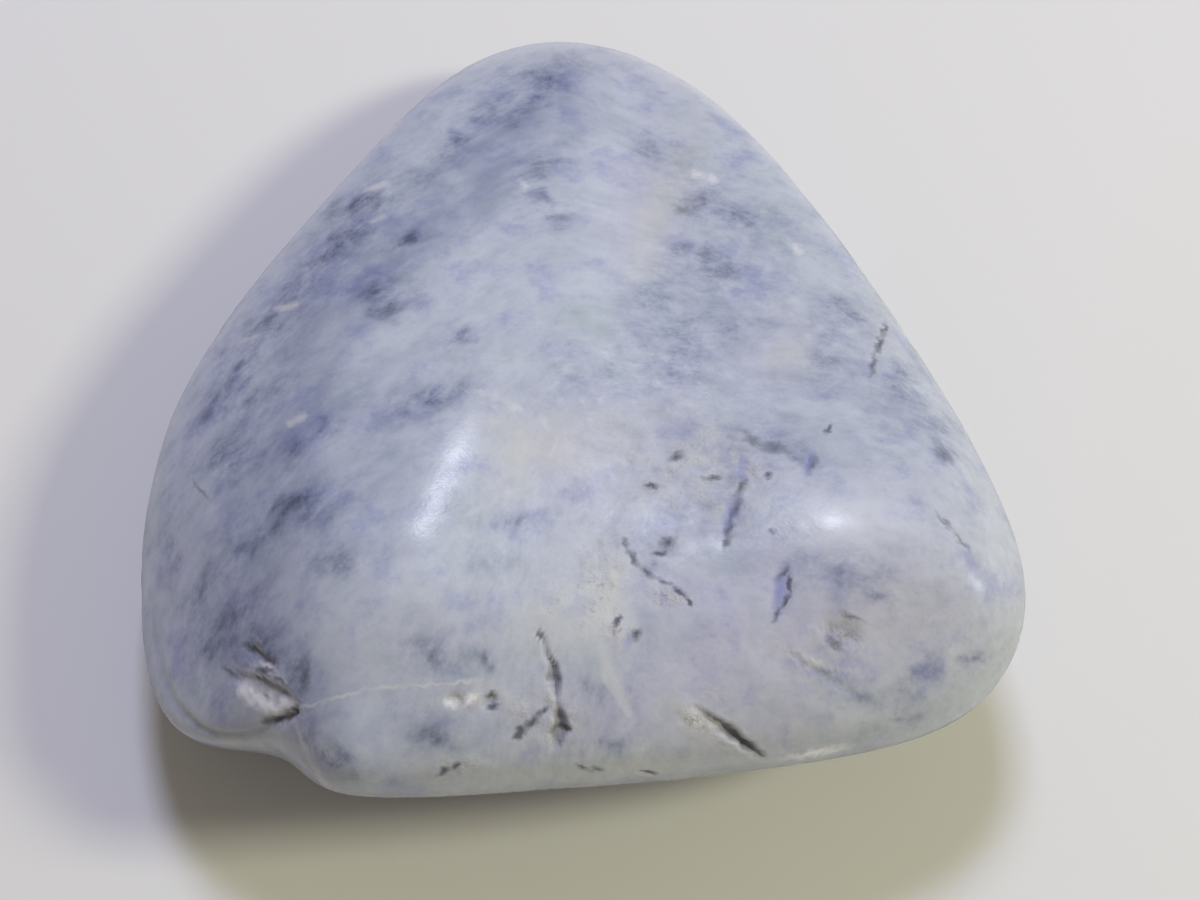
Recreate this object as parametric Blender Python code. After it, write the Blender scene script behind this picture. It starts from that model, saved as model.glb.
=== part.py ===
"""A viewing stone: one river-worn cobble of lavender jade rock, polished by hand.

The stone is a single solid that lies on a small flat spot. Its body is a set of worn facets round a
point inside it, the heart: the skin crosses each line out of the heart where the facets, blended by
a power mean, cross it. A bite under the left lobe, low lumps, cracks and pits are then added to it.
Marks on the display face are laid out on a flat drawing, in millimetres across and up, which is
drawn as the face looks from the viewing point.
"""

import math

import bmesh
import bpy
from mathutils import Matrix, Vector
from mathutils.bvhtree import BVHTree

MM = 0.001

# The heart is the point that the whole skin is measured from.
HEART = Vector((-5.75, 4.7, 20.0)) * MM

# The display face is looked at from in front, 60 degrees above the ground.
VIEW_AIM = Vector((3.65, -12.9, 20.0)) * MM
VIEW_ELEVATION = math.radians(60)
VIEW_DISTANCE = 300 * MM

# Each facet: azimuth and elevation of its outward direction in degrees, distance from the heart in mm.
UPPER_FACETS = {
    "crown": (85, 77.5, 9.6),
    "back_slope": (97, 74, 21.6),
    "left_slope": (150.5, 62.5, 18.8),
    "right_slope": (29, 46.5, 34.2),
    "front_brow": (-83, 78.5, 30.3),
    "back_brow": (100.5, 50, 36.2),
    "left_brow": (190.5, 46, 39.1),
    "right_brow": (22, 34, 66.1),
    "front_slope": (-45, 51, 58.3),
    "front_left_slope": (218, 53.5, 56.1),
    "front_shoulder": (-90.5, 60.5, 57.6),
    "front_lip": (-81.5, 27, 71.6),
    "front_face": (-84.5, -16.5, 75.6),
    "right_back": (45, 9.5, 54.2),
    "left_back": (146, 3.5, 42.9),
    "left_corner": (174.5, 17.5, 54.0),
    "right_corner": (-3, -6, 73.7),
    "apex": (92.5, -7.5, 73.0),
}
UNDER_FACETS = {
    "base": (0, -90, 21.5),
    "left_under": (165, -42.5, 40.9),
    "right_under": (21, -43.5, 36.9),
    "back_under": (90.5, -54.5, 47.3),
    "front_left_under": (203, -46.5, 67.0),
    "front_right_under": (-23, -47, 74.3),
    "front_under": (-87.5, -40, 51.3),
}
BITE_ROOF_FACETS = {
    "lobe_front": (-89, -6, 62.4),
    "lobe_under": (217.5, -55.5, 51.9),
}
BITE_SIDE_FACET = {"block_side": (204, 0, 54.0)}

# How sharply facets meet: the higher the power, the less worn the edge between them.
UPPER_WEAR = 9.0
UNDER_WEAR = 4.5
RIM_WEAR = 20.0
BITE_WEAR = 30.0

# Low lumps and hollows: place on the drawing (across, up), half length, half width, turn in degrees
# and height towards the viewing point; sizes in mm.
LUMPS = {
    "left_ridge": ((-21.9, -0.7), 22.2, 10.4, 58, 2.3),
    "left_brow": ((-24.9, -18.0), 13.2, 9.7, 0, 0.9),
    "right_hump": ((40.6, -10.1), 16.6, 11.8, 0, 3.4),
    "right_dome": ((36.3, -10.2), 5.5, 5.0, 0, 0.4),
    "corner_hump": ((54.7, -20.8), 7.6, 6.9, 0, 1.2),
    "left_lobe": ((-54.0, -37.0), 8.0, 8.0, 0, 0.3),
    "front_block": ((-35.0, -44.0), 6.0, 6.0, 0, 1.0),
    "middle_valley": ((8.3, -13.8), 11.1, 18.0, 0, -1.1),
}

# Cracks: stations along each, as (across, up, width, depth) in mm.
CRACKS = {
    "main_crack": [
        (-8.6, -25.4, 0.5, 0.3),
        (-7.6, -26.2, 0.8, 0.8),
        (-7.2, -28.4, 0.7, 1.0),
        (-5.9, -30.4, 1.4, 2.0),
        (-5.3, -32.2, 1.7, 2.6),
        (-5.5, -34.0, 1.3, 1.4),
        (-5.1, -36.2, 2.0, 2.4),
        (-5.3, -38.4, 2.6, 3.2),
        (-6.0, -40.4, 1.8, 2.2),
        (-5.0, -41.8, 0.8, 0.9),
        (-2.8, -43.4, 0.7, 0.6),
        (-1.2, -44.2, 0.4, 0.3),
    ],
    "side_crack": [
        (-7.0, -35.2, 0.5, 0.5),
        (-8.6, -36.8, 0.8, 1.2),
        (-9.8, -38.0, 0.9, 1.2),
        (-11.8, -39.8, 0.6, 0.5),
    ],
    "right_crack": [
        (14.0, -36.2, 0.5, 0.3),
        (16.0, -37.9, 1.0, 1.2),
        (18.2, -39.8, 1.7, 2.2),
        (20.4, -41.2, 1.5, 2.0),
        (22.8, -42.6, 0.5, 0.4),
    ],
    "middle_crack": [
        (3.7, -13.6, 0.5, 0.3),
        (5.0, -15.8, 0.9, 0.7),
        (6.4, -17.4, 1.0, 0.8),
        (9.4, -18.8, 0.9, 0.8),
        (11.3, -19.7, 0.8, 0.9),
        (12.7, -21.7, 0.5, 0.4),
    ],
    "right_edge_crack": [
        (39.2, 16.0, 0.5, 0.3),
        (38.3, 13.6, 0.8, 0.9),
        (37.5, 10.3, 0.5, 0.3),
    ],
    "lip_groove": [
        (-62.0, -24.5, 0.8, 0.3),
        (-60.9, -29.5, 1.0, 0.6),
        (-58.9, -34.6, 1.1, 0.6),
        (-56.4, -37.6, 1.1, 0.6),
        (-52.6, -39.3, 1.0, 0.5),
        (-48.4, -38.7, 1.0, 0.5),
        (-44.6, -37.2, 0.9, 0.4),
    ],
}

# Pits: place on the drawing (across, up), length, width, depth in mm, and the turn of the length.
PITS = {
    "crescent_pit": ((25.6, -20.2), 8.4, 1.8, 0.9, 76),
    "slot_pit": ((18.2, -9.6), 7.8, 1.6, 0.8, 72),
    "oval_pit": ((33.5, -25.2), 6.2, 3.6, 0.8, -12),
    "chip_pit": ((-46.4, -30.8), 7.0, 4.0, 1.5, -38),
    "bite_hole": ((-43.8, -37.6), 4.6, 2.0, 1.6, 8),
    "rough_pit": ((9.0, -12.5), 3.4, 2.2, 0.8, 20),
    "small_pit": ((3.4, -24.8), 3.4, 1.6, 0.8, 60),
    "round_pit": ((-15.2, -35.3), 2.2, 1.7, 0.8, 30),
}

# The mesh: cells along each edge of the cube that the skin starts from, and how far its points are
# crowded towards the display face.
CELLS = 26
CROWD_TOWARDS = Vector((0.0, -0.45, 0.89)).normalized()
CROWDING = 0.32

CRACK_FLOOR_SHARE = 0.3
CUTTER_RISE = 2.5 * MM


def outward(azimuth, elevation):
    """The unit vector at these angles, in degrees."""
    turn, lift = math.radians(azimuth), math.radians(elevation)
    return Vector((math.cos(turn) * math.cos(lift), math.sin(turn) * math.cos(lift), math.sin(lift)))


def power_mean(values, power):
    """The p-norm of the values: close to their largest, with the corner between them worn round."""
    return sum(value**power for value in values) ** (1 / power)


def reaches(direction, facets):
    """For each facet, the part of its distance that one unit along the direction covers, per metre."""
    return [
        max(0.0, direction.dot(outward(azimuth, elevation))) / (distance * MM)
        for azimuth, elevation, distance in facets.values()
    ]


def body_radius(direction):
    """Distance from the heart to the worn facets: one over the power mean of their reaches."""
    upper = power_mean(reaches(direction, UPPER_FACETS), UPPER_WEAR)
    under = power_mean(reaches(direction, UNDER_FACETS), UNDER_WEAR)
    roof = power_mean(reaches(direction, BITE_ROOF_FACETS), RIM_WEAR)
    side = reaches(direction, BITE_SIDE_FACET)[0]
    bite = 0.0
    if roof > 0 and side > 0:
        bite = 1 / power_mean([1 / roof, 1 / side], BITE_WEAR)
    return 1 / power_mean([upper, under, bite], RIM_WEAR)


def drawing_axes():
    """The drawing's across and up directions, and the direction in which it is looked at."""
    forward = Vector((0, math.cos(VIEW_ELEVATION), -math.sin(VIEW_ELEVATION)))
    across = Vector((1, 0, 0))
    return across, across.cross(forward), forward


def viewing_point():
    return VIEW_AIM - drawing_axes()[2] * VIEW_DISTANCE


def drawn_place(point):
    """Where a point of the stone lies on the drawing, in mm across and up."""
    across, up, forward = drawing_axes()
    seen = point - viewing_point()
    scale = VIEW_DISTANCE / seen.dot(forward) / MM
    return Vector((seen.dot(across) * scale, seen.dot(up) * scale))


def lump_height(point):
    """The summed height of the lumps at a point of the display face: each is a long bell curve."""
    here = drawn_place(point)
    height = 0.0
    for place, half_length, half_width, turn, rise in LUMPS.values():
        away = Matrix.Rotation(-math.radians(turn), 2) @ (here - Vector(place))
        height += rise * MM * math.exp(-((away.x / half_length) ** 2) - (away.y / half_width) ** 2)
    return height


def lumped(point, direction):
    """The point moved by the lumps towards the viewing point, less and less where it turns away."""
    to_viewer = (viewing_point() - point).normalized()
    turned = min(1.0, max(0.0, 0.5 + 2.0 * direction.dot(to_viewer)))
    return point + to_viewer * lump_height(point) * turned


def jade_material():
    """Polished lavender jade: pale blue-grey, with a soft satin shine."""
    material = bpy.data.materials.new("polished_lavender_jade")
    material.use_nodes = True
    shader = material.node_tree.nodes["Principled BSDF"]
    shader.inputs["Base Color"].default_value = (0.42, 0.45, 0.58, 1.0)
    shader.inputs["Roughness"].default_value = 0.36
    shader.inputs["Metallic"].default_value = 0.0
    return material


def add_object(name, mesh_builder):
    """Turns a bmesh into a named object in the scene."""
    mesh = bpy.data.meshes.new(name)
    mesh_builder.to_mesh(mesh)
    mesh_builder.free()
    made = bpy.data.objects.new(name, mesh)
    bpy.context.scene.collection.objects.link(made)
    return made


def stone_body():
    """The skin: a cube of equal-angle cells, each corner moved out along its direction."""
    skin = bmesh.new()
    bmesh.ops.create_cube(skin, size=2.0)
    bmesh.ops.subdivide_edges(skin, edges=skin.edges[:], cuts=CELLS - 1, use_grid_fill=True)
    for corner in skin.verts:
        even = Vector([math.tan(value * math.pi / 4) for value in corner.co]).normalized()
        direction = (even + CROWDING * CROWD_TOWARDS).normalized()
        corner.co = lumped(HEART + direction * body_radius(direction), direction)
    skin.normal_update()
    return skin


def cut_flat_spot(skin):
    """Takes away what lies below the ground and closes the cut with one flat face."""
    bmesh.ops.bisect_plane(
        skin,
        geom=skin.verts[:] + skin.edges[:] + skin.faces[:],
        plane_co=(0, 0, 0),
        plane_no=(0, 0, -1),
        clear_outer=True,
    )
    rim = [edge for edge in skin.edges if edge.is_boundary]
    bmesh.ops.contextual_create(skin, geom=rim)
    bmesh.ops.recalc_face_normals(skin, faces=skin.faces[:])


def on_skin(tree, place):
    """The point of the skin that the drawing shows at this place, and the skin's outward normal."""
    across, up, forward = drawing_axes()
    flat = VIEW_AIM + across * place[0] * MM + up * place[1] * MM
    ray = (flat - viewing_point()).normalized()
    point, normal, _, _ = tree.ray_cast(viewing_point(), ray)
    return point, normal


def add_crack_cutter(name, tree, stations):
    """A wedge along the crack: at each station wide above the skin and narrow at its floor."""
    spots = [on_skin(tree, station[:2]) for station in stations]
    wedge = bmesh.new()
    sections = []
    for index, (_, _, width, depth) in enumerate(stations):
        point, normal = spots[index]
        before = spots[max(0, index - 1)][0]
        after = spots[min(len(spots) - 1, index + 1)][0]
        side = (after - before).cross(normal).normalized() * width * MM / 2
        floor = point - normal * depth * MM
        top = point + normal * CUTTER_RISE
        flare = 1 + CUTTER_RISE / (depth * MM + CUTTER_RISE)
        corners = (
            top - side * flare,
            top + side * flare,
            floor + side * CRACK_FLOOR_SHARE,
            floor - side * CRACK_FLOOR_SHARE,
        )
        sections.append([wedge.verts.new(corner) for corner in corners])
    for near, far in zip(sections, sections[1:]):
        for index in range(4):
            following = (index + 1) % 4
            wedge.faces.new((near[index], near[following], far[following], far[index]))
    wedge.faces.new(sections[0][::-1])
    wedge.faces.new(sections[-1])
    bmesh.ops.recalc_face_normals(wedge, faces=wedge.faces[:])
    return add_object(name, wedge)


def add_pit_cutter(name, tree, place, length, width, depth, turn):
    """A ball squashed to the pit's length, width and depth, sunk half into the skin."""
    point, normal = on_skin(tree, place)
    across = drawing_axes()[0]
    level = (across - normal * across.dot(normal)).normalized()
    along = Matrix.Rotation(math.radians(turn), 3, normal) @ level
    frame = Matrix((along, normal.cross(along), normal)).transposed().to_4x4()
    size = Matrix.Diagonal((length * MM / 2, width * MM / 2, depth * MM, 1.0))
    ball = bmesh.new()
    bmesh.ops.create_icosphere(
        ball, subdivisions=2, radius=1.0, matrix=Matrix.Translation(point) @ frame @ size
    )
    return add_object(name, ball)


def cut_away(stone, cutter):
    """Subtracts the cutter from the stone and hides it from renders."""
    cutter.hide_render = True
    cutter.display_type = "WIRE"
    cut = stone.modifiers.new(cutter.name, "BOOLEAN")
    cut.operation = "DIFFERENCE"
    cut.solver = "EXACT"
    cut.object = cutter


for leftover in list(bpy.data.objects):
    bpy.data.objects.remove(leftover, do_unlink=True)

body = stone_body()
skin_tree = BVHTree.FromBMesh(body)
cut_flat_spot(body)
stone = add_object("stone", body)
stone.data.materials.append(jade_material())
stone.data.shade_smooth()
for crack, crack_stations in CRACKS.items():
    cut_away(stone, add_crack_cutter(crack + "_cutter", skin_tree, crack_stations))
for pit, pit_form in PITS.items():
    cut_away(stone, add_pit_cutter(pit + "_cutter", skin_tree, *pit_form))
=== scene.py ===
"""A viewing stone of lavender jade, dressed over its CAD solid: the fine skin, its marks and its finish."""

import math

import bpy
import numpy as np
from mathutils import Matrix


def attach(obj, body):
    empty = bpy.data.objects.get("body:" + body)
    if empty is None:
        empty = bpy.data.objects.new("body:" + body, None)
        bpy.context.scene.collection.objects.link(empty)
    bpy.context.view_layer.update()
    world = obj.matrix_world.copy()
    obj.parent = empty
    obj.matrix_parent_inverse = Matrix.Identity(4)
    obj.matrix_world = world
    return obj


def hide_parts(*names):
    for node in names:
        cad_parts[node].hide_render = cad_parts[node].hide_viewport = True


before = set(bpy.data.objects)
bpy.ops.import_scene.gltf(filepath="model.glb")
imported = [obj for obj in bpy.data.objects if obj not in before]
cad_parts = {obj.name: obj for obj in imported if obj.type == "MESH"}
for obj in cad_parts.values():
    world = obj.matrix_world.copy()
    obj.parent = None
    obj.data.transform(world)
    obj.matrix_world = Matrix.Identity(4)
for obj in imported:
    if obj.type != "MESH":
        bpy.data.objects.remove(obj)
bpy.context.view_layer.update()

# ---------------------------------------------------------------------------------------------
# The stone. A single cobble of lavender jadeite rock, tumbled in a river until its faces were worn
# round, then smoothed by hand and waxed. Cracks, pits and chips that the wearing never reached stay
# rough. It lies loose, on a small flat spot worn under its middle.
# ---------------------------------------------------------------------------------------------

MM = 0.001

# The skin is measured along lines out of the heart; places are in millimetres.
HEART = np.array([-5.75, 4.7, 20.0])

# Each worn facet: azimuth and elevation of its outward direction, and distance from the heart.
UPPER_FACETS = [
    (85, 77.5, 9.6),
    (97, 74, 21.6),
    (150.5, 62.5, 18.8),
    (29, 46.5, 34.2),
    (-83, 78.5, 30.3),
    (100.5, 50, 36.2),
    (190.5, 46, 39.1),
    (22, 34, 66.1),
    (-45, 51, 58.3),
    (218, 53.5, 56.1),
    (-90.5, 60.5, 57.6),
    (-81.5, 27, 71.6),
    (-84.5, -16.5, 75.6),
    (45, 9.5, 54.2),
    (146, 3.5, 42.9),
    (174.5, 17.5, 54.0),
    (-3, -6, 73.7),
    (92.5, -7.5, 73.0),
]
UNDER_FACETS = [
    (0, -90, 21.5),
    (165, -42.5, 40.9),
    (21, -43.5, 36.9),
    (90.5, -54.5, 47.3),
    (203, -46.5, 67.0),
    (-23, -47, 74.3),
    (-87.5, -40, 51.3),
]
# The bite under the left lobe has a roof of two facets and one side, and the powers say how sharply
# facets meet: the higher, the less worn the edge.
BITE_ROOF_FACETS = [(-89, -6, 62.4), (217.5, -55.5, 51.9)]
BITE_SIDE_FACET = [(204, 0, 54.0)]
UPPER_WEAR = 9.0
UNDER_WEAR = 4.5
RIM_WEAR = 20.0
BITE_WEAR = 30.0
LEAST_REACH = 1e-5

# Places on the display face are given on a drawing of it: a sheet of 1200 by 900 units, measured
# across and down from its upper left corner, as the face looks from 300 mm away, 60 degrees up. At
# the aim, which is the middle of the sheet, one unit is 0.138 mm.
VIEW_AIM = np.array([3.65, -12.9, 20.0])
VIEW_DISTANCE = 300.0
VIEW_ELEVATION = math.radians(60)
VIEW_ACROSS = np.array([1.0, 0.0, 0.0])
VIEW_UP = np.array([0.0, math.sin(VIEW_ELEVATION), math.cos(VIEW_ELEVATION)])
VIEW_FORWARD = np.array([0.0, math.cos(VIEW_ELEVATION), -math.sin(VIEW_ELEVATION)])
VIEW_POINT = VIEW_AIM - VIEW_DISTANCE * VIEW_FORWARD
SHEET_MIDDLE = np.array([600.0, 450.0])
SHEET_SPREAD = 2166.7
UNITS_PER_MM = SHEET_SPREAD / VIEW_DISTANCE

# The mesh: cells along each cube edge, how far its points crowd towards the display face, and the
# places round which they crowd closer still: direction from the heart, share and reach.
CELLS = 127
GRID_MIDDLE = np.array([0.0, -2.0, 20.0])
GRID_HALVES = np.array([60.0, 66.0, 21.0])
STEEPENING = 1.5
CROWD_TOWARDS = np.array([0.0, -0.85, 0.52])
CROWDING = 0.45
FINE_PLACES = [
    ((0.0, -60.0, 30.0), 0.2, 0.5),
    ((-42.0, -54.0, 24.0), 0.2, 0.3),
    ((30.0, -50.0, 30.0), 0.15, 0.3),
]


def unit(vectors):
    """Vectors divided by their lengths."""
    vectors = np.asarray(vectors, float)
    return vectors / np.linalg.norm(vectors, axis=-1, keepdims=True)


def bearings(facets):
    """The outward direction of each facet: cosines and sines of its azimuth and elevation."""
    turn, lift = np.radians(np.array(facets)[:, :2]).T
    return np.stack([np.cos(turn) * np.cos(lift), np.sin(turn) * np.cos(lift), np.sin(lift)])


def worn(directions, facets, power):
    """The p-norm over the facets of cos(angle to the facet) / distance: one over the worn radius."""
    reach = np.maximum(0, directions @ bearings(facets)) / np.array(facets)[:, 2]
    return (reach**power).sum(axis=-1) ** (1 / power)


def body_radius(directions):
    """Radius where the facets cross each direction: 1 / p-norm of upper, under and bite reaches.

    The bite is the soft smaller of its roof and its side, so it only cuts where both reach in."""
    upper = worn(directions, UPPER_FACETS, UPPER_WEAR)
    under = worn(directions, UNDER_FACETS, UNDER_WEAR)
    roof = np.maximum(worn(directions, BITE_ROOF_FACETS, RIM_WEAR), LEAST_REACH)
    side = np.maximum(worn(directions, BITE_SIDE_FACET, 1.0), LEAST_REACH)
    bite = (roof**-BITE_WEAR + side**-BITE_WEAR) ** (-1 / BITE_WEAR)
    return (upper**RIM_WEAR + under**RIM_WEAR + bite**RIM_WEAR) ** (-1 / RIM_WEAR)


def patch_directions(axis, sign):
    """One cube face as a grid of directions: (sign, tan(s pi/4), tan(t pi/4)), rolled to its axis."""
    steps = np.tan(np.linspace(-1, 1, CELLS + 1) * math.pi / 4)
    along, over = np.meshgrid(steps, steps, indexing="ij")
    grid = np.stack([np.full_like(along, sign), along * sign, over], axis=-1)
    return np.roll(grid, axis, axis=-1)


def crowd(directions):
    """Moves directions closer together towards the display face, then round each fine place.

    A pull of share * exp(-(distance / reach)^2) towards a place shrinks the cells there."""
    moved = unit(directions * np.array([1.0, 1.0, STEEPENING]))
    moved = unit(moved + CROWDING * CROWD_TOWARDS)
    for place, share, reach in FINE_PLACES:
        towards = unit((np.array(place) - GRID_MIDDLE) / GRID_HALVES) - moved
        pull = share * np.exp(-(towards**2).sum(axis=-1, keepdims=True) / reach**2)
        moved = unit(moved + pull * towards)
    return unit(GRID_MIDDLE + GRID_HALVES * moved - HEART)


# Six patches, welded along their seams: equal points are found by rounding their directions.
WELD_DECIMALS = 6
patches = [patch_directions(axis, sign).reshape(-1, 3) for axis in range(3) for sign in (-1, 1)]
patches = np.concatenate(patches)
rounded = np.round(patches, WELD_DECIMALS)
_, first, welded = np.unique(rounded, axis=0, return_index=True, return_inverse=True)
corner_index = welded.reshape(6, CELLS + 1, CELLS + 1)
quad_corners = [
    corner_index[:, :-1, :-1],
    corner_index[:, 1:, :-1],
    corner_index[:, 1:, 1:],
    corner_index[:, :-1, 1:],
]
quads = np.stack(quad_corners, axis=-1).reshape(-1, 4)
directions = crowd(patches[first])


LATTICE = 16


def ripple(points, size, seed):
    """Gradient noise, about -1 to 1: random slopes at the corners of a lattice, blended smoothly.

    The lattice has this size in mm and repeats after LATTICE corners each way."""
    slopes = np.random.default_rng(seed).normal(size=(LATTICE, LATTICE, LATTICE, 3))
    cell = np.floor(points / size).astype(int)
    part = points / size - cell
    ease = part**3 * (part * (part * 6 - 15) + 10)
    total = np.zeros(len(points))
    for corner in np.ndindex(2, 2, 2):
        at = (cell + corner) % LATTICE
        slope = slopes[at[:, 0], at[:, 1], at[:, 2]]
        weight = np.prod(np.where(corner, ease, 1 - ease), axis=1)
        total += weight * ((part - corner) * slope).sum(axis=1)
    return total


def drawn_place(points):
    """Perspective of the points from the viewing point, in sheet units across and down."""
    seen = points - VIEW_POINT
    ahead = seen @ VIEW_FORWARD
    slopes = np.stack([seen @ VIEW_ACROSS / ahead, -(seen @ VIEW_UP) / ahead], axis=-1)
    return SHEET_MIDDLE + SHEET_SPREAD * slopes


def rise(values, start, end):
    """0 up to start and 1 from end, with a smooth S between them."""
    share = np.clip((values - start) / (end - start), 0, 1)
    return share * share * (3 - 2 * share)


def bell(places, across, down, half_length, half_width, turn):
    """exp(-r^2), r the distance in half lengths and half widths, turned anticlockwise by degrees."""
    lean = math.radians(turn)
    away = places - np.array([across, down])
    along = (away[:, 0] * math.cos(lean) - away[:, 1] * math.sin(lean)) / half_length
    over = (away[:, 0] * math.sin(lean) + away[:, 1] * math.cos(lean)) / half_width
    return np.exp(-(along**2) - over**2)


def groove(places, stations, wander):
    """How far each place lies from a line, in widths, and the line's depth beside it.

    The nearest stretch counts. Stations are across, down, width to the left and to the right of the
    line as it is followed, both in mm, and depth in mm. The wander is added to the distance."""
    line = np.array(stations, float)
    nearest = np.full(len(places), np.inf)
    widths = np.full(len(places), np.inf)
    depth = np.zeros(len(places))
    for start, end in zip(line, line[1:]):
        run = end[:2] - start[:2]
        share = np.clip((places - start[:2]) @ run / (run @ run), 0, 1)
        away = places - start[:2] - share[:, None] * run
        distance = np.hypot(away[:, 0], away[:, 1])
        to_left = run[0] * away[:, 1] - run[1] * away[:, 0] < 0
        here = start + share[:, None] * (end - start)
        width = np.where(to_left, here[:, 2], here[:, 3]) * UNITS_PER_MM
        closer = distance < nearest
        nearest = np.where(closer, distance, nearest)
        widths = np.where(closer, distance / width, widths)
        depth = np.where(closer, here[:, 4], depth)
    return np.maximum(0, widths + wander), depth


# Low lumps and hollows of the display face: across, down, half length and half width in sheet units,
# turn in degrees, height towards the viewing point in mm.
LUMPS = [
    (442, 455, 160, 75, 58, 2.3),
    (420, 580, 95, 70, 0, 0.9),
    (893, 523, 120, 85, 0, 3.4),
    (862, 524, 40, 36, 0, 0.15),
    (995, 600, 55, 50, 0, 1.2),
    (210, 717, 58, 58, 0, 0.3),
    (347, 768, 43, 43, 0, 1.0),
    (660, 550, 80, 130, 0, -0.9),
]

# Cracks with broken edges: across, down, left width, right width and depth at each station.
CRACKS = {
    "main": [
        (538, 633, 0.3, 0.3, 0.2),
        (545, 641, 0.3, 0.4, 0.4),
        (547, 655, 0.3, 0.5, 0.5),
        (554, 666, 0.6, 0.9, 0.7),
        (558, 679, 0.6, 1.9, 1.0),
        (557, 692, 0.4, 0.9, 0.6),
        (557, 701, 0.3, 0.4, 0.35),
        (559, 711, 0.8, 0.8, 0.6),
        (561, 727, 1.4, 2.1, 1.1),
        (557, 741, 1.1, 1.3, 0.7),
        (554, 750, 0.3, 0.3, 0.2),
    ],
    "right": [
        (694, 706, 0.4, 0.5, 0.15),
        (706, 714, 0.5, 0.8, 0.4),
        (728, 730, 0.7, 1.1, 0.9),
        (748, 745, 0.6, 1.1, 1.3),
        (765, 758, 0.3, 0.5, 0.5),
    ],
    "chip_brow": [
        (236, 672, 0.4, 1.8, 0.2),
        (252, 676, 0.4, 3.0, 0.5),
        (268, 682, 0.4, 3.4, 0.6),
        (284, 692, 0.5, 2.8, 0.5),
        (297, 703, 0.4, 1.6, 0.3),
    ],
    "chip_upper": [
        (244, 646, 0.5, 0.6, 0.2),
        (258, 652, 0.6, 0.9, 0.5),
        (274, 664, 0.5, 0.6, 0.3),
    ],
    "chip_hole": [
        (262, 722, 0.5, 0.4, 0.3),
        (279, 719, 0.6, 0.6, 0.7),
        (295, 712, 0.6, 0.6, 0.9),
    ],
    "low_slit": [(640, 772, 0.2, 0.3, 0.3), (648, 773, 0.3, 0.4, 0.6), (655, 774, 0.2, 0.3, 0.3)],
}

# Shallow worn lines and small ledges, drawn the same way.
WORN_LINES = {
    "lip": [
        (153, 600, 0.9, 0.8, 0.05),
        (156, 640, 0.9, 0.8, 0.18),
        (162, 670, 0.9, 0.8, 0.25),
        (171, 695, 0.9, 0.8, 0.3),
        (184, 714, 0.9, 0.8, 0.32),
        (200, 727, 0.9, 0.9, 0.32),
        (220, 734, 0.9, 0.9, 0.3),
        (244, 734, 0.9, 0.9, 0.28),
        (268, 728, 0.8, 0.8, 0.25),
        (288, 718, 0.7, 0.7, 0.2),
    ],
    "right_fold": [
        (957, 440, 0.6, 1.4, 0.05),
        (973, 460, 0.6, 1.6, 0.3),
        (993, 492, 0.6, 1.8, 0.35),
        (1010, 530, 0.6, 1.8, 0.25),
        (1019, 560, 0.6, 1.4, 0.05),
    ],
    "low_scour": [
        (785, 648, 0.4, 0.4, 0.15),
        (800, 662, 0.6, 0.5, 0.35),
        (830, 680, 0.6, 0.5, 0.3),
        (858, 697, 0.4, 0.4, 0.1),
    ],
}

# Pits: across, down, half length, half width and depth in mm, turn in degrees, and how dark they are.
PITS = {
    "crescent": (781, 590, 4.6, 1.8, 0.3, 80, 0.0),
    "slot": (729, 520, 4.2, 1.9, 0.2, 72, 0.0),
    "oval": (842, 634, 3.6, 2.6, 0.4, -14, 0.0),
    "pale_chip": (456, 700, 1.5, 1.3, 0.35, 0, 0.0),
    "crescent_scar": (490, 701, 1.5, 0.9, 0.5, 60, 0.3),
    "twin_pits": (665, 547, 1.8, 1.5, 0.25, 15, 0.0),
}

# Rough ground where the polish never reached: across, down, half length, half width, turn, strength.
ROUGH_GROUND = [
    (600, 580, 42, 22, 75, 0.9),
    (667, 596, 22, 12, -20, 1.0),
    (700, 722, 30, 12, -38, 1.0),
    (556, 600, 26, 14, 40, 0.5),
    (842, 634, 26, 15, -14, 0.9),
    (690, 465, 90, 60, -20, 0.55),
    (745, 470, 30, 40, 60, 0.6),
    (665, 545, 18, 16, 0, 0.7),
    (618, 628, 16, 14, 0, 0.8),
    (545, 715, 30, 36, 80, 0.6),
    (455, 765, 30, 12, 10, 0.5),
    (470, 700, 50, 14, 10, 0.4),
    (255, 672, 26, 14, -20, 0.5),
    (880, 330, 14, 20, 20, 0.5),
    (320, 745, 20, 14, -40, 0.5),
    (800, 655, 22, 10, -30, 0.5),
    (713, 695, 8, 16, 60, 0.5),
]

# Broad lavender shades in the rock: across, down, half length, half width, turn, strength.
SHADES = [
    (545, 100, 70, 42, 35, 0.65),
    (490, 165, 62, 36, 45, 0.8),
    (432, 225, 62, 34, 45, 0.8),
    (372, 272, 62, 34, 48, 0.75),
    (318, 335, 62, 36, 50, 0.55),
    (322, 408, 40, 36, 40, 0.6),
    (285, 448, 44, 36, 50, 0.7),
    (300, 515, 46, 30, 30, 0.75),
    (232, 500, 60, 24, 60, 0.35),
    (250, 570, 34, 30, 40, 0.45),
    (245, 645, 46, 30, -10, 0.65),
    (318, 690, 26, 30, 0, 0.4),
    (430, 402, 50, 18, 10, 0.55),
    (690, 310, 64, 56, 0, 0.15),
    (745, 380, 56, 30, -15, 0.3),
    (800, 440, 44, 20, -15, 0.4),
    (745, 215, 50, 26, -15, 0.25),
    (420, 728, 66, 24, 0, 0.35),
    (555, 730, 60, 24, 0, 0.25),
    (925, 690, 40, 22, 10, 0.1),
    (900, 400, 40, 24, -40, 0.35),
    (388, 475, 34, 60, 0, 0.35),
    (690, 430, 70, 30, -10, 0.3),
]

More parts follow.
